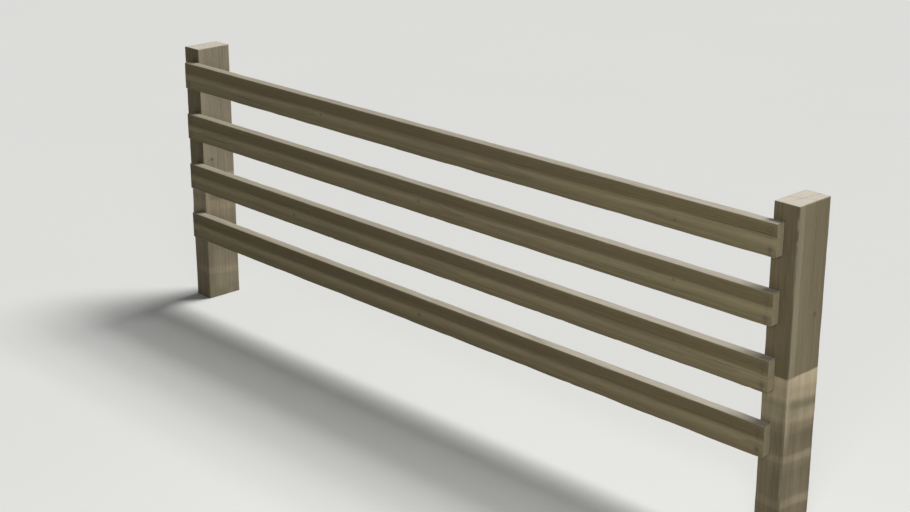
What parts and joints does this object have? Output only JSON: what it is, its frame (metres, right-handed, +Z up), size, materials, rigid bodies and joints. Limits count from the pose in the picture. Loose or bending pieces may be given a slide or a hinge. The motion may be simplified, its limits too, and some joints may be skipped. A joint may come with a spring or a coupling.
{
  "type": "post and rail fence bay",
  "caption": "Timber fence bay: rectangular posts with level flat rails nailed across their front faces, each rail ending mid-post for the next bay.",
  "frame": {"origin": "centre of the left post's flat foot, at ground level", "axes": "+X along the fence towards the right post, -Y the front that carries the rails, +Z up"},
  "size_m": [3.092, 0.198, 1.1],
  "materials": {
    "post_timber": "weathered sawn softwood, matt",
    "rail_timber": "weathered sawn softwood, matt",
    "nail_steel": "dull weathered zinc coat"
  },
  "bodies": {
    "root": {"post_left": "post_timber", "post_right": "post_timber", "rail_top": "rail_timber", "rail_upper": "rail_timber", "rail_lower": "rail_timber", "rail_bottom": "rail_timber"}
  },
  "joints": []
}
